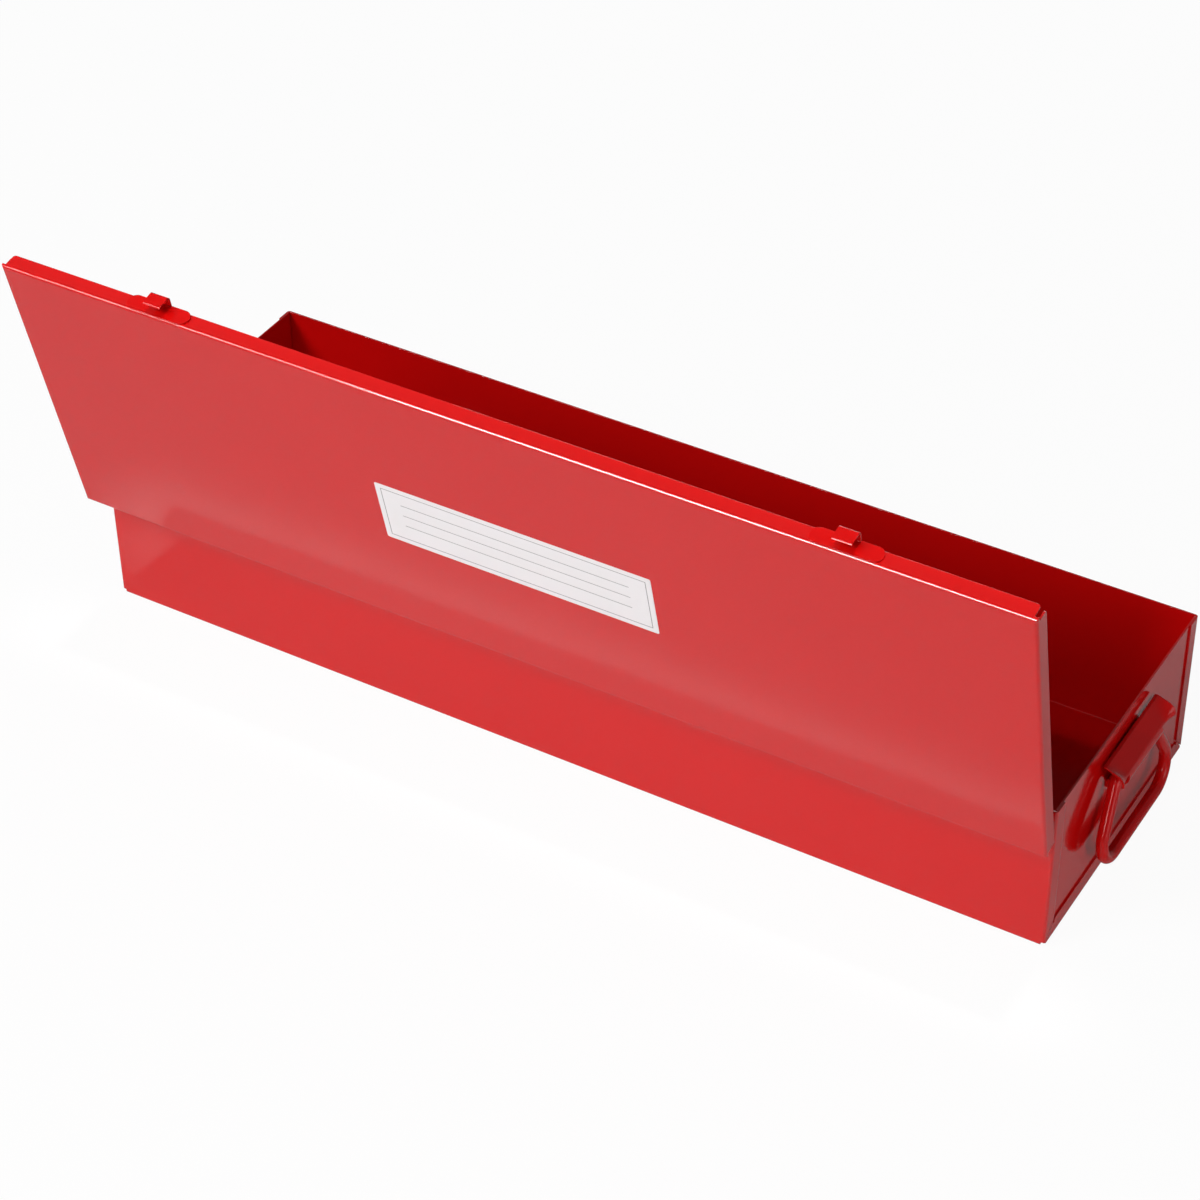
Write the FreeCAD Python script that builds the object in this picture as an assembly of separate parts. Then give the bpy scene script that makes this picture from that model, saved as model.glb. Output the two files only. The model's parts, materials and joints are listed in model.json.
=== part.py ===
"""Long sheet-metal tool case with a hinged lid, drop handles and draw latches.

Millimetres, +Z up. The origin is the middle of the underside. +X runs along the case to the right end,
-Y is the hinge side and +Y the latch side. The lid is drawn shut, then turned open about its hinge.
"""
import FreeCAD, Part
import math
import os

from FreeCAD import Vector

# Case body, one folded sheet with two end panels
body_length = 654.0
body_depth = 200.0
body_height = 103.0
sheet = 1.0
bend_radius = 2.0
end_flange_width = 11.0
floor_flange_height = 12.5
mitre_gap = 1.0
mitre_notch = 3.0
relief_size = 3.0
panel_clearance = 0.1

# Lid, a shallow folded pan
lid_lip_depth = 10.5
lid_end_gap = 2.2
lid_front_gap = 1.2
lid_rear_gap = 2.0
lid_rim_gap = 0.3
lid_corner_notch = 2.6
lid_corner_drop = 2.2
lip_corner_radius = 2.0
lid_open_angle = 103.0

# Piano hinge along the back
hinge_end_inset = 2.0
hinge_drop = 14.3
hinge_leaf = 1.0
knuckle_radius = 3.2
knuckle_count = 21
knuckle_gap = 0.5
knuckle_clearance = 0.4
barrel_wall_gap = 0.5
pin_running_gap = 0.05
body_leaf_height = 13.0
lid_leaf_top_gap = 0.8
pin_chamfer = 0.5

# Catch plates on the lid's front lip
catch_end_inset = 107.0
catch_length = 43.0
catch_height = 10.8
catch_depth = 6.1
catch_sheet = 1.0
hook_width = 12.0
hook_reach = 7.5
hook_bend = 2.0
hook_curl_angle = 60.0
hook_tip_drop = 0.3

# Draw latches on the front wall
latch_sheet = 1.2
base_width = 34.0
base_below = 24.0
base_above = 14.0
base_corner = 5.0
base_thickness = 1.5
pivot_drop = 37.0
pivot_out = 6.0
pivot_radius = 1.5
pivot_press_gap = 0.02
pivot_running_gap = 0.05
pivot_head_radius = 2.4
pivot_head = 0.7
ear_radius = 3.0
ear_spread = 11.4
lever_side_gap = 0.4
lever_head_gap = 0.2
lever_crown = 4.2
lever_web_out = 4.8
lever_web_start = 3.0
lever_length = 28.0
lever_bend = 1.6
tab_length = 7.0
tab_angle = 38.0
bail_wire = 3.0
bail_side_gap = 1.45
bail_pivot_drop = 8.0
bail_pivot_in = 1.5
bail_bend = 4.5
bail_seat_gap = 0.3
bail_stub = 0.7

# Drop handles on the end panels
handle_wire = 7.5
handle_top_width = 54.4
handle_grip_width = 91.2
handle_shoulder_drop = 31.8
handle_side_straight = 0.9
handle_top_bend = 6.0
handle_shoulder_bend = 14.0
handle_grip_bend = 15.6
handle_lean = 4.6
handle_axis_out = 6.5
handle_axis_drop = 29.0
bracket_sheet = 1.5
bracket_play = 1.8
bracket_seat_gap = 0.35
bracket_top_drop = 14.2
bracket_stand_off = 1.6
bracket_foot_drop = 40.0
bracket_half_length = 37.0
saddle_half_length = 24.0
saddle_wrap_angle = 125.0
saddle_foot_offset = 8.0
ear_gap = 0.45
ear_tip_reach = 15.2
ear_waist_share = 0.55
ear_waist_flare_share = 0.20
ear_shoulder_out_share = 0.66
ear_shoulder_drop_share = 0.27
ear_bulge_share = 0.18

# One overrun serves all cuts
overrun = 5.0

# Places worked out from the sizes above
half_length = body_length / 2
half_depth = body_depth / 2
bend_inside = bend_radius - sheet
panel_face = half_length - sheet
lid_half_length = half_length + lid_end_gap + sheet
lid_back = -half_depth - lid_rear_gap - sheet
lid_front = half_depth + lid_front_gap + sheet
lid_top = body_height + lid_rim_gap + sheet
lid_lip_foot = lid_top - lid_lip_depth
hinge_length = body_length - hinge_end_inset * 2
hinge_y = -half_depth - barrel_wall_gap - knuckle_radius
hinge_z = body_height - hinge_drop
bore_radius = knuckle_radius - hinge_leaf
pin_radius = bore_radius - pin_running_gap
knuckle_pitch = hinge_length / knuckle_count
catch_x = half_length - catch_end_inset
catch_z = lid_top - catch_depth
catch_face = lid_front + catch_sheet
catch_foot = catch_z - catch_height / 2
pivot_y = half_depth + pivot_out
pivot_z = body_height - pivot_drop
ear_outside = ear_spread / 2
ear_inside = ear_outside - latch_sheet
lever_inside = ear_outside + lever_side_gap
lever_outside = lever_inside + latch_sheet
bail_radius = bail_wire / 2
bail_leg_x = lever_outside + bail_side_gap + bail_radius
bail_y = pivot_y - bail_pivot_in
bail_z = pivot_z - bail_pivot_drop
seat_z = catch_foot + catch_sheet + bail_seat_gap + bail_radius
seat_y = catch_face + bail_seat_gap + bail_radius
bail_length = math.hypot(seat_y - bail_y, seat_z - bail_z)
handle_radius = handle_wire / 2
handle_spread = (handle_grip_width - handle_top_width) / 2
handle_splay = math.atan2(handle_spread, handle_shoulder_drop)
handle_shoulder_run = handle_shoulder_bend * math.tan(handle_splay / 2)
handle_drop = handle_shoulder_drop + handle_shoulder_run + handle_side_straight + handle_grip_bend
handle_x = panel_face + handle_axis_out
handle_z = body_height - handle_axis_drop
saddle_z = handle_z + bracket_play - bracket_seat_gap
saddle_inner = handle_radius + bracket_play
saddle_outer = saddle_inner + bracket_sheet
bracket_top_z = body_height - bracket_top_drop
bracket_foot_z = body_height - bracket_foot_drop
ear_edge_z = handle_z + handle_radius + ear_gap

X = Vector(1, 0, 0)
Y = Vector(0, 1, 0)
Z = Vector(0, 0, 1)


def block(x0, x1, y0, y1, z0, z1):
    """Box between two corners."""
    return Part.makeBox(x1 - x0, y1 - y0, z1 - z0, Vector(x0, y0, z0))


def path(steps):
    """Closed wire through points; a (middle, end) pair makes an arc."""
    edges = []
    here = steps[0]
    for step in steps[1:]:
        if isinstance(step, tuple):
            edges.append(Part.Arc(here, step[0], step[1]).toShape())
            here = step[1]
        else:
            edges.append(Part.LineSegment(here, step).toShape())
            here = step
    if not here.isEqual(steps[0], sheet / 1000):
        edges.append(Part.LineSegment(here, steps[0]).toShape())
    return Part.Wire(edges)


def across_x(x, steps):
    """Closed wire in a plane square to X, from (y, z) points and pairs."""
    place = lambda p: Vector(x, p[0], p[1])
    return path([(place(s[0]), place(s[1])) if isinstance(s[0], tuple) else place(s) for s in steps])


def across_y(y, steps):
    """Closed wire in a plane square to Y, from (x, z) points and pairs."""
    place = lambda p: Vector(p[0], y, p[1])
    return path([(place(s[0]), place(s[1])) if isinstance(s[0], tuple) else place(s) for s in steps])


def prism(wire, travel):
    """Solid from a closed wire pushed along a vector."""
    return Part.Face(wire).extrude(travel)


def round_point(centre, radius, degrees):
    """Point on a circle, counted from the first axis towards the second."""
    turn = math.radians(degrees)
    return (centre[0] + radius * math.cos(turn), centre[1] + radius * math.sin(turn))


def edges_where(shape, test):
    """Edges whose middle point and direction pass a test."""
    found = []
    for edge in shape.Edges:
        middle = edge.CenterOfMass
        along = edge.Vertexes[-1].Point - edge.Vertexes[0].Point
        if test(middle, along):
            found.append(edge)
    return found


def near(value, target):
    """Whether two lengths are the same."""
    return abs(value - target) < sheet / 100


def open_lid(shape):
    """Turn a shape of the closed lid to the open stance."""
    turned = shape.copy()
    turned.rotate(Vector(0, hinge_y, hinge_z), X, lid_open_angle)
    return turned


def mirrored(shape):
    """The same piece for the left end."""
    return shape.mirror(Vector(0, 0, 0), X)


def case_shell():
    """Near wall, floor and far wall folded from one sheet, with flanges lapped over the ends."""
    outer = block(-half_length, half_length, -half_depth, half_depth, 0, body_height)
    bends = edges_where(outer, lambda m, d: not near(m.z, body_height))
    outer = outer.makeFillet(bend_radius, bends)
    inner = block(
        -panel_face, panel_face, -half_depth + sheet, half_depth - sheet, sheet, body_height + overrun
    )
    bends = edges_where(inner, lambda m, d: m.z < body_height)
    inner = inner.makeFillet(bend_inside, bends)
    shell = outer.cut(inner)
    window_y = half_depth - end_flange_width
    window = block(
        -half_length - overrun, half_length + overrun, -window_y, window_y,
        floor_flange_height, body_height + overrun,
    )
    cuts = [window]
    for end in (-1, 1):
        for side in (-1, 1):
            cuts.append(corner_mitre(end, side))
    return shell.cut(Part.Compound(cuts))


def corner_mitre(end, side):
    """Slanted slot, corner relief and tip notch that part the upright flange from the floor flange."""
    root_y = side * (half_depth - relief_size / 2)
    root_z = relief_size / 2
    tip_y = side * (half_depth - end_flange_width)
    slant = [
        (root_y, root_z),
        (tip_y, floor_flange_height),
        (tip_y, floor_flange_height + mitre_gap),
        (root_y, root_z + mitre_gap),
    ]
    face_x = end * half_length
    travel = Vector(-end * relief_size, 0, 0)
    slot = prism(across_x(face_x + end * overrun, slant), travel - X * (end * overrun))
    relief = block(
        min(face_x, face_x - end * relief_size), max(face_x, face_x - end * relief_size),
        min(side * half_depth, side * (half_depth - relief_size)),
        max(side * half_depth, side * (half_depth - relief_size)),
        0, relief_size,
    )
    notch = [
        (tip_y - side * mitre_notch, floor_flange_height),
        (tip_y, floor_flange_height - mitre_notch),
        (tip_y + side * mitre_notch / 2, floor_flange_height),
    ]
    tip = prism(across_x(face_x + end * overrun, notch), travel - X * (end * overrun))
    return slot.fuse([relief, tip])


def end_panel():
    """Right end panel, standing inside the shell's flanges."""
    half_width = half_depth - bend_radius - panel_clearance
    foot = bend_radius + panel_clearance
    return block(panel_face - sheet, panel_face, -half_width, half_width, foot, body_height)


def lid_panel():
    """Shallow pan with four lips and open corners."""
    outer = block(-lid_half_length, lid_half_length, lid_back, lid_front, lid_lip_foot, lid_top)
    outer = outer.makeFillet(bend_radius, edges_where(outer, lambda m, d: near(m.z, lid_top)))
    inner_top = lid_top - sheet
    inner = block(
        sheet - lid_half_length, lid_half_length - sheet, lid_back + sheet, lid_front - sheet,
        lid_lip_foot - overrun, inner_top,
    )
    inner = inner.makeFillet(bend_inside, edges_where(inner, lambda m, d: near(m.z, inner_top)))
    pan = outer.cut(inner)
    notch_top = lid_top - lid_corner_drop
    notches = []
    for end in (-1, 1):
        for edge, inward in ((lid_back, 1), (lid_front, -1)):
            xs = sorted((end * (lid_half_length - lid_corner_notch), end * (lid_half_length + overrun)))
            ys = sorted((edge + inward * lid_corner_notch, edge - inward * overrun))
            notches.append(block(*xs, *ys, lid_lip_foot - overrun, notch_top))
    pan = pan.cut(Part.Compound(notches))

    def at_free_corner(middle, along):
        at_foot = near(middle.z, lid_lip_foot)
        lip_end = near(abs(middle.x), lid_half_length - lid_corner_notch) and near(abs(along.y), sheet)
        tip_y = lid_front - lid_corner_notch
        side_tip = near(middle.y, tip_y) and near(abs(along.x), sheet)
        return at_foot and (lip_end or side_tip)

    return pan.makeFillet(lip_corner_radius, edges_where(pan, at_free_corner))


def knuckle_span(index):
    """First and last X of one knuckle."""
    start = -hinge_length / 2 + index * knuckle_pitch
    return start + knuckle_gap / 2, start + knuckle_pitch - knuckle_gap / 2


def knuckle_tube(index):
    """One rolled knuckle with its bore."""
    first, last = knuckle_span(index)
    centre = Vector(first, hinge_y, hinge_z)
    tube = Part.makeCylinder(knuckle_radius, last - first, centre, X)
    return tube.cut(Part.makeCylinder(bore_radius, last - first, centre, X))


def leaf(inner_y, outer_y, edge_z, notch_z, root_z, members):
    """Leaf plate with its own knuckles; root_z is where a knuckle's strip meets the barrel."""
    plate = block(
        -hinge_length / 2, hinge_length / 2, inner_y, outer_y, min(edge_z, notch_z), max(edge_z, notch_z)
    )
    pieces = []
    for index in members:
        first, last = knuckle_span(index)
        strip = block(first, last, inner_y, outer_y, min(notch_z, root_z), max(notch_z, root_z))
        pieces.append(strip)
        pieces.append(knuckle_tube(index))
    return plate.fuse(pieces).removeSplitter()


def hinge_body_leaf():
    """Leaf flat on the near wall, below the barrel."""
    inner_y = -half_depth - hinge_leaf
    reach = knuckle_radius + knuckle_clearance
    notch_z = hinge_z - math.sqrt(reach ** 2 - (inner_y - hinge_y) ** 2)
    members = range(0, knuckle_count, 2)
    return leaf(inner_y, -half_depth, hinge_z - body_leaf_height, notch_z, hinge_z, members)


def hinge_lid_leaf():
    """Leaf inside the lid's rear lip, above the barrel when the lid is shut."""
    inner_y = lid_back + sheet
    reach = knuckle_radius + knuckle_clearance
    notch_z = hinge_z + math.sqrt(reach ** 2 - (inner_y - hinge_y) ** 2)
    root_z = hinge_z + math.sqrt(bore_radius ** 2 - (inner_y - hinge_y) ** 2)
    edge_z = lid_top - bend_radius - lid_leaf_top_gap
    members = range(1, knuckle_count, 2)
    return leaf(inner_y, inner_y + hinge_leaf, edge_z, notch_z, root_z, members)


def hinge_pin():
    """Full-length pin through all the knuckles."""
    start = Vector(-hinge_length / 2, hinge_y, hinge_z)
    pin = Part.makeCylinder(pin_radius, hinge_length, start, X)
    ends = [e for e in pin.Edges if e.Curve.TypeId == "Part::GeomCircle"]
    return pin.makeChamfer(pin_chamfer, ends)


def catch():
    """Welded plate with a hook that opens upwards when the lid is shut."""
    end_radius = catch_height / 2
    straight = catch_length / 2 - end_radius
    top = catch_z + end_radius
    foot = catch_foot
    plate = across_y(lid_front, [
        (-straight, foot),
        (straight, foot),
        ((straight + end_radius, catch_z), (straight, top)),
        (-straight, top),
        ((-straight - end_radius, catch_z), (-straight, foot)),
    ])
    return prism(plate, Y * catch_sheet).fuse(catch_hook()).removeSplitter()


def catch_hook():
    """Bent strip that leaves the plate's foot, turns out and then up, with its tip curled in."""
    outer_y = catch_face + hook_reach
    inner_y = outer_y - catch_sheet
    bend_in = hook_bend - catch_sheet
    low = (outer_y - hook_bend, catch_foot + hook_bend)
    curl_z = catch_z + catch_height / 2 - hook_tip_drop - hook_bend
    high = (outer_y - hook_bend, curl_z)
    half_curl = hook_curl_angle / 2
    profile = [
        (catch_face, catch_foot),
        (low[0], catch_foot),
        (round_point(low, hook_bend, -45), (outer_y, low[1])),
        (outer_y, curl_z),
        (round_point(high, hook_bend, half_curl), round_point(high, hook_bend, hook_curl_angle)),
        round_point(high, bend_in, hook_curl_angle),
        (round_point(high, bend_in, half_curl), (inner_y, curl_z)),
        (inner_y, low[1]),
        (round_point(low, bend_in, -45), (low[0], catch_foot + catch_sheet)),
        (catch_face, catch_foot + catch_sheet),
    ]
    return prism(across_x(-hook_width / 2, profile), X * hook_width)


def latch_base():
    """Welded plate with two ears that carry the lever's pin."""
    plate = block(
        -base_width / 2, base_width / 2, half_depth, half_depth + base_thickness,
        pivot_z - base_below, pivot_z + base_above,
    )
    corners = edges_where(plate, lambda m, d: near(abs(d.y), base_thickness))
    plate = plate.makeFillet(base_corner, corners)
    pivot = (pivot_y, pivot_z)
    ear = [
        (half_depth + base_thickness, pivot_z - ear_radius),
        (pivot_y, pivot_z - ear_radius),
        (round_point(pivot, ear_radius, 0), (pivot_y, pivot_z + ear_radius)),
        (half_depth + base_thickness, pivot_z + ear_radius),
    ]
    ears = [prism(across_x(x, ear), X * latch_sheet) for x in (-ear_outside, ear_inside)]
    window = block(
        -ear_inside, ear_inside, half_depth, half_depth + base_thickness,
        pivot_z - ear_radius, pivot_z + ear_radius,
    )
    hole = Part.makeCylinder(
        pivot_radius + pivot_press_gap, ear_spread, Vector(-ear_outside, pivot_y, pivot_z), X
    )
    return plate.fuse(ears).cut(window.fuse(hole)).removeSplitter()


def latch_pin():
    """Pin through the ears and the lever, headed at both ends."""
    neck = lever_outside + lever_head_gap
    shank = Part.makeCylinder(pivot_radius, neck * 2, Vector(-neck, pivot_y, pivot_z), X)
    heads = [
        Part.makeCylinder(pivot_head_radius, pivot_head, Vector(neck, pivot_y, pivot_z), X),
        Part.makeCylinder(pivot_head_radius, pivot_head, Vector(-neck, pivot_y, pivot_z), -X),
    ]
    return shank.fuse(heads).removeSplitter()


def latch_lever():
    """Channel-shaped lever with a turned-out finger tab, hanging shut against its base."""
    foot = pivot_z - lever_length
    front = pivot_y + lever_web_out
    pivot = (pivot_y, pivot_z)
    side = [
        (pivot_y - lever_crown, foot),
        (front, foot),
        (front, pivot_z - lever_web_start),
        round_point(pivot, lever_crown, 0),
        (round_point(pivot, lever_crown, 90), round_point(pivot, lever_crown, 180)),
    ]
    channel = prism(across_x(-lever_outside, side), X * (lever_outside * 2))
    long_bends = edges_where(
        channel, lambda m, d: near(m.y, front) and near(abs(m.x), lever_outside) and abs(d.z) > lever_crown
    )
    channel = channel.makeFillet(lever_bend, long_bends)
    hollow = block(
        -lever_inside, lever_inside, pivot_y - lever_crown - overrun, front - latch_sheet,
        foot - overrun, pivot_z + lever_crown + overrun,
    )
    mouth = block(
        -lever_inside, lever_inside, pivot_y - lever_crown - overrun, front + overrun,
        pivot_z - lever_web_start, pivot_z + lever_crown + overrun,
    )
    channel = channel.cut(hollow.fuse(mouth)).fuse(finger_tab(foot, front))
    holes = [
        Part.makeCylinder(radius, lever_outside * 2, Vector(-lever_outside, y, z), X)
        for radius, y, z in (
            (pivot_radius + pivot_running_gap, pivot_y, pivot_z),
            (bail_radius + pivot_running_gap, bail_y, bail_z),
        )
    ]
    return channel.cut(Part.Compound(holes)).removeSplitter()


def finger_tab(foot, front):
    """Tab that leaves the lever's web and slants outwards."""
    inner = front - latch_sheet
    slant = math.radians(tab_angle)
    step = (tab_length * math.sin(slant), -tab_length * math.cos(slant))
    skin = (latch_sheet * math.cos(slant), latch_sheet * math.sin(slant))
    profile = [
        (inner, foot),
        (inner + step[0], foot + step[1]),
        (inner + step[0] + skin[0], foot + step[1] + skin[1]),
        (front, foot + latch_sheet * math.tan(slant / 2)),
        (front, foot + latch_sheet),
        (inner, foot + latch_sheet),
    ]
    half = lever_outside - lever_bend
    return prism(across_x(-half, profile), X * (half * 2))


def wire_run(start, end, radius):
    """Straight stretch of round wire."""
    along = end - start
    return Part.makeCylinder(radius, along.Length, start, along)


def wire_bend(centre, start, end, radius):
    """Bend of round wire from start to end about a centre."""
    first = start - centre
    last = end - centre
    normal = first.cross(last)
    heading = normal.cross(first)
    section = Part.Face(Part.Wire(Part.makeCircle(radius, start, heading)))
    return section.revolve(centre, normal, math.degrees(first.getAngle(last)))


def latch_bail():
    """Wire loop that hangs from the lever and reaches up to the hook when latched."""
    low_z = bail_z - bail_length
    pieces = []
    for side in (-1, 1):
        leg = side * bail_leg_x
        tip = side * (lever_inside - bail_stub)
        elbow = side * (bail_leg_x - bail_radius)
        turn_x = side * (bail_leg_x - bail_bend)
        pieces.append(wire_run(Vector(tip, bail_y, bail_z), Vector(leg, bail_y, bail_z), bail_radius))
        pieces.append(Part.makeSphere(bail_radius, Vector(leg, bail_y, bail_z)))
        pieces.append(
            wire_run(Vector(leg, bail_y, bail_z), Vector(leg, bail_y, low_z + bail_bend), bail_radius)
        )
        pieces.append(
            wire_bend(
                Vector(turn_x, bail_y, low_z + bail_bend), Vector(leg, bail_y, low_z + bail_bend),
                Vector(turn_x, bail_y, low_z), bail_radius,
            )
        )
    bar = bail_leg_x - bail_bend
    pieces.append(wire_run(Vector(-bar, bail_y, low_z), Vector(bar, bail_y, low_z), bail_radius))
    return pieces[0].fuse(pieces[1:]).removeSplitter()


def bent_loop(corners, bends, radius):
    """Closed loop of round bar through corner points, each rounded by its own bend."""
    count = len(corners)
    pieces = []
    ends = []
    for index in range(count):
        corner = corners[index]
        back = (corners[index - 1] - corner).normalize()
        ahead = (corners[(index + 1) % count] - corner).normalize()
        half_angle = back.getAngle(ahead) / 2
        inset = bends[index] / math.tan(half_angle)
        centre = corner + (back + ahead).normalize() * (bends[index] / math.sin(half_angle))
        start = corner + back * inset
        end = corner + ahead * inset
        pieces.append(wire_bend(centre, start, end, radius))
        ends.append((start, end))
    for index in range(count):
        pieces.append(wire_run(ends[index - 1][1], ends[index][0], radius))
    return pieces[0].fuse(pieces[1:]).removeSplitter()


def handle():
    """Bell-shaped ring of round bar that hangs from the right bracket, leaning a little off the panel."""
    half_side = [
        (handle_top_width / 2, 0, handle_top_bend),
        (handle_grip_width / 2, handle_shoulder_drop, handle_shoulder_bend),
        (handle_grip_width / 2, handle_drop, handle_grip_bend),
    ]
    corners = [Vector(handle_x, y, handle_z - drop) for y, drop, bend in half_side]
    corners += [Vector(handle_x, -y, handle_z - drop) for y, drop, bend in reversed(half_side)]
    bends = [bend for y, drop, bend in half_side]
    ring = bent_loop(corners, bends + bends[::-1], handle_radius)
    ring.rotate(Vector(handle_x, 0, handle_z), Y, -handle_lean)
    return ring


def handle_bracket():
    """Stamped saddle on the right end panel, with a flared ear over each bend of the handle."""
    saddle = prism(across_y(-saddle_half_length, saddle_profile()), Y * (saddle_half_length * 2))
    near_ear = bracket_ear()
    far_ear = near_ear.mirror(Vector(0, 0, 0), Y)
    return saddle.fuse([near_ear, far_ear]).removeSplitter()


def saddle_slope():
    """Angle on the saddle's round at which the straight slope from the bracket's top edge meets it."""
    rise = bracket_top_z - saddle_z
    back = handle_axis_out - bracket_stand_off
    turn = math.atan2(rise, -back) - math.acos(saddle_inner / math.hypot(back, rise))
    return math.degrees(turn)


def top_reach(centre, radius, slope):
    """X of the slope's line where it comes up to the bracket's top edge."""
    meet = round_point(centre, radius, slope)
    return meet[0] - (bracket_top_z - meet[1]) * math.tan(math.radians(slope))


def saddle_profile():
    """Bent strip: a slope from the top edge off the panel, a round about the bar, and a flat foot."""
    centre = (handle_x, saddle_z)
    skin = panel_face + bracket_sheet
    foot_bend_z = saddle_z - saddle_foot_offset
    slope = saddle_slope()
    wrap = saddle_wrap_angle
    middle = (slope - wrap) / 2
    return [
        (panel_face + bracket_stand_off, bracket_top_z),
        (top_reach(centre, saddle_outer, slope), bracket_top_z),
        round_point(centre, saddle_outer, slope),
        (round_point(centre, saddle_outer, middle), round_point(centre, saddle_outer, -wrap)),
        (skin, foot_bend_z),
        (skin, bracket_foot_z),
        (panel_face, bracket_foot_z),
        (panel_face, foot_bend_z + bracket_sheet / 2),
        round_point(centre, saddle_inner, -wrap),
        (round_point(centre, saddle_inner, middle), round_point(centre, saddle_inner, slope)),
    ]


def bracket_ear():
    """Trumpet-shaped hood from the saddle's end to the bracket's end, clear of the swinging bar."""
    span = bracket_half_length - saddle_half_length
    stations = [
        (saddle_half_length, 0),
        (saddle_half_length + span * ear_waist_share, ear_waist_flare_share),
        (bracket_half_length, 1),
    ]
    return Part.makeLoft([ear_section(-y, flare) for y, flare in stations], True)


def ear_section(y, flare):
    """One station of the hood: the saddle's upper part, spread towards the rim by a share."""
    outer = spread(saddle_skin(saddle_outer), rim_skin(saddle_outer, 0), flare)
    inner = spread(saddle_skin(saddle_inner), rim_skin(saddle_inner, bracket_sheet), flare)
    return across_y(y, [
        outer[0], outer[1], (outer[2], outer[3]), inner[3], (inner[2], inner[1]), inner[0]
    ])


def saddle_skin(radius):
    """Top, end of slope, middle of round and free edge on one face of the saddle's upper part."""
    centre = (handle_x, saddle_z)
    slope = saddle_slope()
    free = math.degrees(math.asin((ear_edge_z - saddle_z) / radius))
    return [
        (top_reach(centre, radius, slope), bracket_top_z),
        round_point(centre, radius, slope),
        round_point(centre, radius, (slope + free) / 2),
        round_point(centre, radius, free),
    ]


def rim_skin(radius, inset):
    """The same four points on one face of the flared rim."""
    top = saddle_skin(radius)[0]
    start = saddle_skin(saddle_outer)[0]
    slant = inset / math.sqrt(2)
    shoulder = (
        start[0] + (panel_face + ear_tip_reach - start[0]) * ear_shoulder_out_share - slant,
        bracket_top_z - (bracket_top_z - ear_edge_z) * ear_shoulder_drop_share - slant,
    )
    free = (panel_face + ear_tip_reach - inset, ear_edge_z)
    return [top, shoulder, bowed(shoulder, free, ear_bulge_share), free]


def spread(first, last, share):
    """Points a share of the way from one list to another."""
    return [
        (a[0] + (b[0] - a[0]) * share, a[1] + (b[1] - a[1]) * share) for a, b in zip(first, last)
    ]


def bowed(start, end, share):
    """Middle of an arc that bows out from its chord by a share of the chord's length."""
    run = (end[0] - start[0], end[1] - start[1])
    return (
        (start[0] + end[0]) / 2 - run[1] * share,
        (start[1] + end[1]) / 2 + run[0] * share,
    )


def moved(shape, x):
    """Copy of a shape set along the case."""
    placed = shape.copy()
    placed.translate(Vector(x, 0, 0))
    return placed


def build():
    """Every piece by name."""
    parts = {
        "case_shell": case_shell(),
        "right_end_panel": end_panel(),
        "right_handle_bracket": handle_bracket(),
        "right_handle": handle(),
        "hinge_body_leaf": hinge_body_leaf(),
        "hinge_pin": hinge_pin(),
        "hinge_lid_leaf": open_lid(hinge_lid_leaf()),
        "lid_panel": open_lid(lid_panel()),
    }
    for name in ("end_panel", "handle_bracket", "handle"):
        parts["left_" + name] = mirrored(parts["right_" + name])
    for side, x in (("left", -catch_x), ("right", catch_x)):
        parts[side + "_catch"] = open_lid(moved(catch(), x))
        parts[side + "_latch_base"] = moved(latch_base(), x)
        parts[side + "_latch_pin"] = moved(latch_pin(), x)
        parts[side + "_latch_lever"] = moved(latch_lever(), x)
        parts[side + "_latch_bail"] = moved(latch_bail(), x)
    return parts


def main():
    """Write one file per piece and say what was made."""
    os.makedirs("parts", exist_ok=True)
    for name, shape in sorted(build().items()):
        shape.exportStep("parts/" + name + ".step")
        print(name, "solids", len(shape.Solids), "valid", shape.isValid(), "volume", round(shape.Volume, 1))


main()
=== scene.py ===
"""Looks of the red metal tool case: its finishes, a blank label, studio light and the camera."""
import json
import math

import bmesh
import bpy
from mathutils import Matrix, Vector


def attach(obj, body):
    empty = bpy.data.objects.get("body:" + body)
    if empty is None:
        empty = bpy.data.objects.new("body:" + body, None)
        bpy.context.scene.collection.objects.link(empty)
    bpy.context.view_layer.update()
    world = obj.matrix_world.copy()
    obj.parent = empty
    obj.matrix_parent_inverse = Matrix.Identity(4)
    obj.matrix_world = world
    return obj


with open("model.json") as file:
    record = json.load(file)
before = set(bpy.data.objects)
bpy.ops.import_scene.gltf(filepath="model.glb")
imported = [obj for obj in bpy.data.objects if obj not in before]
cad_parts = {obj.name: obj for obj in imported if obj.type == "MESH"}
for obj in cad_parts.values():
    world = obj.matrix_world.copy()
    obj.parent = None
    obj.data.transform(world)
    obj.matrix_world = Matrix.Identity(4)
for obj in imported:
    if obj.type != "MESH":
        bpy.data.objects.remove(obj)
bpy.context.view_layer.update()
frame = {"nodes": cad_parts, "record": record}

# Finishes, as linear colours
red_colour = (0.600, 0.0032, 0.0030)
red_deep_colour = (0.560, 0.0026, 0.0026)
hardware_colour = red_colour
hardware_deep_colour = (0.540, 0.0026, 0.0026)
# Lighter red painted along the edges as a highlight
edge_highlight_colour = (0.660, 0.012, 0.011)
zinc_colour = (0.62, 0.63, 0.64)
zinc_dull_colour = (0.44, 0.45, 0.46)
label_colour = (0.82, 0.82, 0.83)
label_dim_colour = (0.79, 0.79, 0.80)
rule_colour = (0.30, 0.30, 0.31)
rule_dark_colour = (0.22, 0.22, 0.23)
floor_colour = (0.86, 0.86, 0.86)
white_colour = (1, 1, 1)

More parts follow.
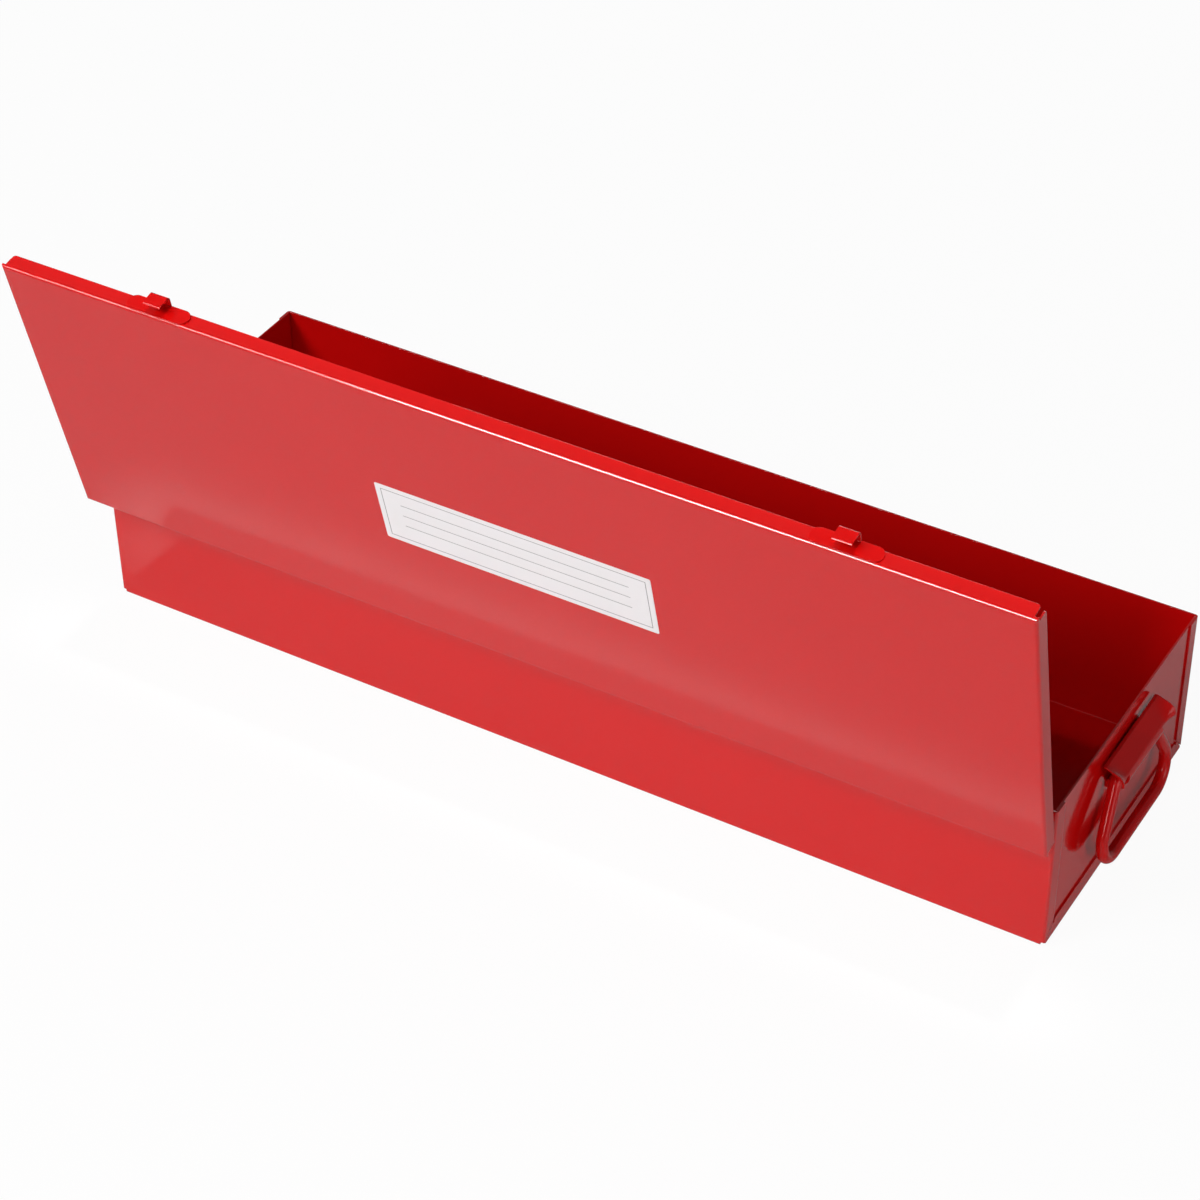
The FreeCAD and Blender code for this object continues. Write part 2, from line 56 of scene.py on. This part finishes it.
# Gloss of the finishes: how rough at least and at most, and how strongly they mirror
red_rough_shares = (0.05, 0.09)
red_mirror_share = 0.50
hardware_rough_shares = (0.09, 0.15)
hardware_mirror_share = 0.22
zinc_rough_shares = (0.24, 0.42)
paper_rough_shares = (0.30, 0.40)
ink_rough_shares = (0.35, 0.50)
floor_rough_share = 0.90

# Scales of the surface detail, in metres
orange_peel_size = 0.0016
orange_peel_depth = 0.000012
mottle_size = 0.09
gloss_patch_size = 0.03
zinc_patch_size = 0.0075
paper_patch_size = 0.015
plating_grain_size = 0.0009
plating_grain_depth = 0.000010
paper_grain_size = 0.0004
paper_grain_depth = 0.000004

# Layers in the noise of each surface detail
orange_peel_layers = 1
mottle_layers = 3
gloss_patch_layers = 4
zinc_patch_layers = 4
paper_patch_layers = 3
plating_grain_layers = 2
paper_grain_layers = 2
ink_layers = 3

# Rounding of the edges in the finish, and how well normals match off an edge and on one, which sets
# where the painted edge highlight lies
edge_round = 0.0005
edge_samples = 6
flat_match_share = 0.98
edge_match_share = 0.80

# Lid as it lies shut, and the angle at which it stands open
lid_rear_y = -0.103
lid_top_z = 0.1043
lid_open_angle = 103.0

# Blank label on the lid's outer face, measured from the lid's rear edge
label_left = -0.086
label_right = 0.096
label_low = 0.078
label_high = 0.125
label_corner = 0.0012
label_corner_steps = 6
label_lift = 0.00002
label_thickness = 0.00012
rule_thickness = 0.00002
rule_margin = 0.0035
rule_width = 0.0005
rule_indent = 0.012
rule_place_shares = (0.30, 0.52, 0.74)

# Camera, with its lens and sensor in millimetres
camera_place = (0.79736, -1.35971, 1.31204)
camera_forward = (-0.40458, 0.66868, -0.62385)
camera_up = (-0.31100, 0.54091, 0.78147)
camera_lens = 97.649
camera_sensor = 36.0

# Floor and sky: how white they show to the camera and in gloss
floor_half_size = 6.0
floor_gap = 0.0003
floor_white_share = 0.95
floor_gloss_share = 0.08
sky_white_level = 1
sky_gloss_level = 0.25
sky_level = 0.01

# Lamps: places and sizes in metres, powers in watts, spread in degrees
aim_place = (0, 0, 0.12)
key_place = (-1.69, -2.42, 2.32)
key_size = (1.54, 0.98)
key_power = 83
fill_place = (0.45, -1.60, 0.75)
fill_size = (0.24, 0.50)
fill_power = 5.6
strip_place = (0, -2.06, 2.70)
strip_size = (1.10, 0.04)
strip_power = 15
side_place = (2.30, -0.50, 0.55)
side_size = (1.20, 1.20)
side_power = 12
back_place = (-0.50, 2.40, 0.50)
back_size = (1.60, 0.80)
back_power = 15
glint_place = (-1.20, -3.30, 1.68)
glint_size = (1.40, 1.20)
glint_power = 220
edge_place = (0, -0.150, 1.90)
edge_size = (0.74, 0.03)
edge_power = 0.075
edge_spread = 3.0


def linked(tree, source, target):
    """Join an output to an input."""
    tree.links.new(source, target)


def opaque(colour):
    """Colour with full alpha."""
    return (*colour, 1)


def new_material(name):
    """Material with an empty tree, its shader and its output."""
    material = bpy.data.materials.new(name)
    material.use_nodes = True
    tree = material.node_tree
    tree.nodes.clear()
    shader = tree.nodes.new("ShaderNodeBsdfPrincipled")
    output = tree.nodes.new("ShaderNodeOutputMaterial")
    linked(tree, shader.outputs["BSDF"], output.inputs["Surface"])
    return material, tree, shader


def noise(tree, size, layers):
    """Noise of a real size, in the piece's own place."""
    place = tree.nodes.new("ShaderNodeTexCoord")
    texture = tree.nodes.new("ShaderNodeTexNoise")
    texture.inputs["Scale"].default_value = 1 / size
    texture.inputs["Detail"].default_value = layers
    linked(tree, place.outputs["Object"], texture.inputs["Vector"])
    return texture.outputs["Fac"]


def ramp(tree, factor, low, high):
    """Spread a factor over a range of numbers."""
    spread = tree.nodes.new("ShaderNodeMapRange")
    spread.inputs["To Min"].default_value = low
    spread.inputs["To Max"].default_value = high
    linked(tree, factor, spread.inputs["Value"])
    return spread.outputs["Result"]


def mixed(tree, factor, first, second):
    """Mix two colours; each is a colour or another mix."""
    mix = tree.nodes.new("ShaderNodeMix")
    mix.data_type = "RGBA"
    linked(tree, factor, mix.inputs["Factor"])
    for socket, colour in (("A", first), ("B", second)):
        target = [i for i in mix.inputs if i.name == socket and i.type == "RGBA"][0]
        if isinstance(colour, tuple):
            target.default_value = opaque(colour)
        else:
            linked(tree, colour, target)
    return [o for o in mix.outputs if o.type == "RGBA"][0]


def rounded_normal(tree):
    """Normal that rounds the sheet's edges."""
    bevel = tree.nodes.new("ShaderNodeBevel")
    bevel.samples = edge_samples
    bevel.inputs["Radius"].default_value = edge_round
    return bevel.outputs["Normal"]


def painted_highlight_mask(tree, normal):
    """Mask that is high on the edges, where the rounded normal leaves the flat one; it places the
    painted edge highlight.
    """
    geometry = tree.nodes.new("ShaderNodeNewGeometry")
    match = tree.nodes.new("ShaderNodeVectorMath")
    match.operation = "DOT_PRODUCT"
    linked(tree, normal, match.inputs[0])
    linked(tree, geometry.outputs["Normal"], match.inputs[1])
    mask = tree.nodes.new("ShaderNodeMapRange")
    mask.inputs["From Min"].default_value = flat_match_share
    mask.inputs["From Max"].default_value = edge_match_share
    linked(tree, match.outputs["Value"], mask.inputs["Value"])
    return mask.outputs["Result"]


def bumped(tree, shader, height, depth, normal=None):
    """Give the shader a bump, over a normal where there is one."""
    bump = tree.nodes.new("ShaderNodeBump")
    bump.inputs["Distance"].default_value = depth
    linked(tree, height, bump.inputs["Height"])
    if normal is not None:
        linked(tree, normal, bump.inputs["Normal"])
    linked(tree, bump.outputs["Normal"], shader.inputs["Normal"])


def paint(name, colour, deep_colour, rough_shares, mirror_share):
    """Baked enamel with a faint orange peel and a painted highlight of lighter red along the edges."""
    material, tree, shader = new_material(name)
    normal = rounded_normal(tree)
    body = mixed(tree, noise(tree, mottle_size, mottle_layers), deep_colour, colour)
    # Painted highlight: a lighter red mixed in along the edges
    linked(tree, mixed(tree, painted_highlight_mask(tree, normal), body, edge_highlight_colour), shader.inputs["Base Color"])
    patches = noise(tree, gloss_patch_size, gloss_patch_layers)
    linked(tree, ramp(tree, patches, *rough_shares), shader.inputs["Roughness"])
    shader.inputs["Specular IOR Level"].default_value = mirror_share
    peel = noise(tree, orange_peel_size, orange_peel_layers)
    bumped(tree, shader, peel, orange_peel_depth, normal)
    return material


def zinc_plate(name):
    """Bright zinc with a fine grain and duller patches."""
    material, tree, shader = new_material(name)
    patches = noise(tree, zinc_patch_size, zinc_patch_layers)
    linked(tree, mixed(tree, patches, zinc_dull_colour, zinc_colour), shader.inputs["Base Color"])
    shader.inputs["Metallic"].default_value = 1
    linked(tree, ramp(tree, patches, *zinc_rough_shares), shader.inputs["Roughness"])
    grain = noise(tree, plating_grain_size, plating_grain_layers)
    bumped(tree, shader, grain, plating_grain_depth, rounded_normal(tree))
    return material


def label_paper(name):
    """White coated paper."""
    material, tree, shader = new_material(name)
    patches = noise(tree, paper_patch_size, paper_patch_layers)
    linked(tree, mixed(tree, patches, label_dim_colour, label_colour), shader.inputs["Base Color"])
    linked(tree, ramp(tree, patches, *paper_rough_shares), shader.inputs["Roughness"])
    bumped(tree, shader, noise(tree, paper_grain_size, paper_grain_layers), paper_grain_depth)
    return material


def label_ink(name):
    """Grey ink of the label's rules, a little uneven."""
    material, tree, shader = new_material(name)
    grain = noise(tree, paper_grain_size, ink_layers)
    linked(tree, mixed(tree, grain, rule_dark_colour, rule_colour), shader.inputs["Base Color"])
    linked(tree, ramp(tree, grain, *ink_rough_shares), shader.inputs["Roughness"])
    return material


def on_open_lid():
    """Matrix that takes a place on the shut lid to the open lid."""
    joints = {joint["name"]: joint for joint in frame["record"]["behaviour"]["joints"]}
    hinge = Vector(joints["lid_hinge"]["pos_m"])
    turn = Matrix.Rotation(math.radians(lid_open_angle), 4, "X")
    return Matrix.Translation(hinge) @ turn @ Matrix.Translation(-hinge)


def add_slab(mesh, outline, foot, top):
    """Closed flat slab over an outline of (x, y) points."""
    low = [mesh.verts.new((x, y, foot)) for x, y in outline]
    high = [mesh.verts.new((x, y, top)) for x, y in outline]
    mesh.faces.new(high)
    mesh.faces.new(low[::-1])
    for index in range(len(outline)):
        mesh.faces.new((low[index - 1], low[index], high[index], high[index - 1]))


def square_outline(x0, x1, y0, y1):
    """Corner points of a rectangle."""
    return [(x0, y0), (x1, y0), (x1, y1), (x0, y1)]


def rounded_outline(x0, x1, y0, y1, radius, steps):
    """Points round a rectangle with round corners."""
    points = []
    corners = square_outline(x0 + radius, x1 - radius, y0 + radius, y1 - radius)
    for quarter, (x, y) in enumerate(corners):
        for step in range(steps + 1):
            turn = math.pi / 2 * (quarter + step / steps) - math.pi
            points.append((x + radius * math.cos(turn), y + radius * math.sin(turn)))
    return points


def lid_piece(name, slabs, foot, top, material):
    """Piece of flat slabs on the lid's outer face, riding on the lid."""
    mesh = bpy.data.meshes.new(name)
    shape = bmesh.new()
    for outline in slabs:
        add_slab(shape, outline, foot, top)
    shape.to_mesh(mesh)
    shape.free()
    mesh.materials.append(material)
    piece = bpy.data.objects.new(name, mesh)
    piece.matrix_world = on_open_lid()
    bpy.context.scene.collection.objects.link(piece)
    bpy.context.view_layer.update()
    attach(piece, "lid")


def add_label():
    """Blank white label with a thin frame and three writing rules."""
    low = lid_rear_y + label_low
    high = lid_rear_y + label_high
    foot = lid_top_z + label_lift
    top = foot + label_thickness
    sheet = rounded_outline(label_left, label_right, low, high, label_corner, label_corner_steps)
    lid_piece("lid_label", [sheet], foot, top, label_paper("label_paper"))
    x0 = label_left + rule_margin
    x1 = label_right - rule_margin
    y0 = low + rule_margin
    y1 = high - rule_margin
    rules = [
        square_outline(x0, x1, y0, y0 + rule_width),
        square_outline(x0, x1, y1 - rule_width, y1),
        square_outline(x0, x0 + rule_width, y0 + rule_width, y1 - rule_width),
        square_outline(x1 - rule_width, x1, y0 + rule_width, y1 - rule_width),
    ]
    for share in rule_place_shares:
        y = y0 + (y1 - y0) * share
        rules.append(square_outline(x0 + rule_indent, x1 - rule_indent, y, y + rule_width))
    lid_piece("lid_label_rules", rules, top, top + rule_thickness, label_ink("label_ink"))


def dress_nodes():
    """Give every solid the finish of its record slot."""
    red = paint("red_enamel", red_colour, red_deep_colour, red_rough_shares, red_mirror_share)
    hardware = paint(
        "hardware_enamel",
        hardware_colour,
        hardware_deep_colour,
        hardware_rough_shares,
        hardware_mirror_share,
    )
    finishes = {"red_paint": red, "hardware_paint": hardware, "plated_steel": zinc_plate("zinc_plate")}
    for entry in frame["record"]["subparts"]:
        mesh = frame["nodes"][entry["node"]].data
        mesh.materials.clear()
        mesh.materials.append(finishes[entry["material_slot"]])


def framed(place, right, up, away):
    """Matrix from three directions and a place."""
    turn = Matrix((right, up, away)).transposed().to_4x4()
    return Matrix.Translation(Vector(place)) @ turn


def look_at(place, target):
    """Matrix of a lamp at a place, turned to a target."""
    away = (Vector(place) - Vector(target)).normalized()
    right = Vector((0, 0, 1)).cross(away).normalized()
    up = away.cross(right)
    return framed(place, right, up, away)


def add_camera():
    """Camera at the viewing angle."""
    data = bpy.data.cameras.new("camera")
    data.lens = camera_lens
    data.sensor_width = camera_sensor
    camera = bpy.data.objects.new("camera", data)
    forward = Vector(camera_forward).normalized()
    right = forward.cross(Vector(camera_up)).normalized()
    camera.matrix_world = framed(camera_place, right, right.cross(forward), -forward)
    bpy.context.scene.collection.objects.link(camera)
    bpy.context.scene.camera = camera


def add_softbox(name, place, size, power):
    """Rectangular studio lamp aimed at the case."""
    data = bpy.data.lights.new(name, "AREA")
    data.shape = "RECTANGLE"
    data.size, data.size_y = size
    data.energy = power
    lamp = bpy.data.objects.new(name, data)
    lamp.matrix_world = look_at(place, aim_place)
    bpy.context.scene.collection.objects.link(lamp)
    return lamp


def add_edge_light():
    """Gridded strip that shines straight down on the open lid's top edge."""
    lamp = add_softbox("edge_strip", edge_place, edge_size, edge_power)
    lamp.data.spread = math.radians(edge_spread)
    lamp.matrix_world = Matrix.Translation(Vector(edge_place))


def add_glint():
    """Lamp that shows only in gloss, for the glint along the bends that face it."""
    lamp = add_softbox("glint_box", glint_place, glint_size, glint_power)
    lamp.visible_diffuse = False


def seen_share(tree, camera_share, gloss_share):
    """One share for camera rays, another in gloss and through glass, and nothing for the rest."""
    rays = tree.nodes.new("ShaderNodeLightPath")
    shown = ramp(tree, rays.outputs["Is Camera Ray"], 0, camera_share)
    for kind in ("Is Glossy Ray", "Is Transmission Ray"):
        either = tree.nodes.new("ShaderNodeMath")
        either.operation = "MAXIMUM"
        linked(tree, shown, either.inputs[0])
        linked(tree, ramp(tree, rays.outputs[kind], 0, gloss_share), either.inputs[1])
        shown = either.outputs["Value"]
    return shown


def add_sky():
    """World that is white to the camera, dimmer in gloss and a weak even light for the rest."""
    world = bpy.data.worlds.new("studio")
    bpy.context.scene.world = world
    world.use_nodes = True
    tree = world.node_tree
    tree.nodes.clear()
    sky = tree.nodes.new("ShaderNodeBackground")
    sky.inputs["Color"].default_value = opaque(white_colour)
    level = tree.nodes.new("ShaderNodeMath")
    level.operation = "MAXIMUM"
    level.inputs[1].default_value = sky_level
    linked(tree, seen_share(tree, sky_white_level, sky_gloss_level), level.inputs[0])
    linked(tree, level.outputs["Value"], sky.inputs["Strength"])
    output = tree.nodes.new("ShaderNodeOutputWorld")
    linked(tree, sky.outputs["Background"], output.inputs["Surface"])


def add_floor():
    """Pale floor, nearly white where it is seen, that takes the case's shadow."""
    mesh = bpy.data.meshes.new("floor")
    half = floor_half_size
    corners = [(x, y, -floor_gap) for x, y in square_outline(-half, half, -half, half)]
    mesh.from_pydata(corners, [], [range(len(corners))])
    floor = bpy.data.objects.new("floor", mesh)
    bpy.context.scene.collection.objects.link(floor)
    material, tree, shader = new_material("floor_card")
    shader.inputs["Base Color"].default_value = opaque(floor_colour)
    shader.inputs["Roughness"].default_value = floor_rough_share
    glow = tree.nodes.new("ShaderNodeEmission")
    glow.inputs["Color"].default_value = opaque(white_colour)
    both = tree.nodes.new("ShaderNodeMixShader")
    linked(tree, seen_share(tree, floor_white_share, floor_gloss_share), both.inputs["Fac"])
    linked(tree, shader.outputs["BSDF"], both.inputs[1])
    linked(tree, glow.outputs["Emission"], both.inputs[2])
    output = [node for node in tree.nodes if node.type == "OUTPUT_MATERIAL"][0]
    linked(tree, both.outputs["Shader"], output.inputs["Surface"])
    mesh.materials.append(material)


def add_studio():
    """Lamps, sky and floor."""
    bpy.context.scene.view_settings.view_transform = "Standard"
    add_softbox("key_box", key_place, key_size, key_power)
    add_softbox("fill_box", fill_place, fill_size, fill_power)
    add_softbox("strip_box", strip_place, strip_size, strip_power)
    add_softbox("side_box", side_place, side_size, side_power)
    add_softbox("back_box", back_place, back_size, back_power)
    add_edge_light()
    add_glint()
    add_sky()
    add_floor()


dress_nodes()
add_label()
add_camera()
add_studio()
